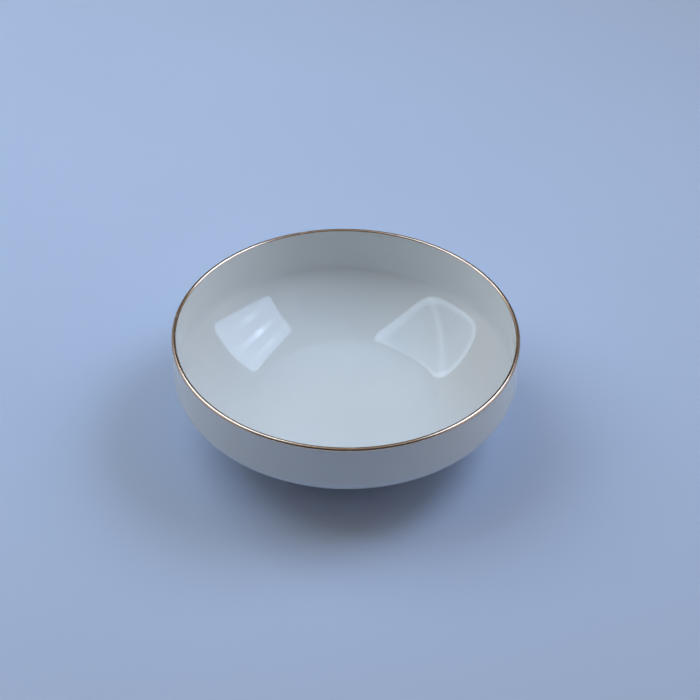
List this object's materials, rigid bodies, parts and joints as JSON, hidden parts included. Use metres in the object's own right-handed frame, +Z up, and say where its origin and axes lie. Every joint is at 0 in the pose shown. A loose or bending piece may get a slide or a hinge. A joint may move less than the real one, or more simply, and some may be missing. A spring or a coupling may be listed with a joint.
{
  "type": "serving bowl",
  "caption": "Round porcelain serving bowl with upright sides, a tight shoulder, a shallow well, a turned foot and a thin gilt line on the lip.",
  "frame": {"origin": "centre of the plane that the foot stands on", "axes": "+Z up along the axis of the bowl, X and Y across it"},
  "size_m": [0.2164, 0.2164, 0.071],
  "materials": {
    "bisque": "unglazed fired porcelain, fine and dry, slightly warm white",
    "glaze": "clear gloss glaze over white porcelain, smooth and wet-looking",
    "gilding": "bright burnished gold, thin, brushed on by hand"
  },
  "bodies": {
    "root": {"porcelain_body": "bisque", "glaze_coat": "glaze", "base_glaze": "glaze", "gold_rim": "gilding"}
  },
  "joints": []
}
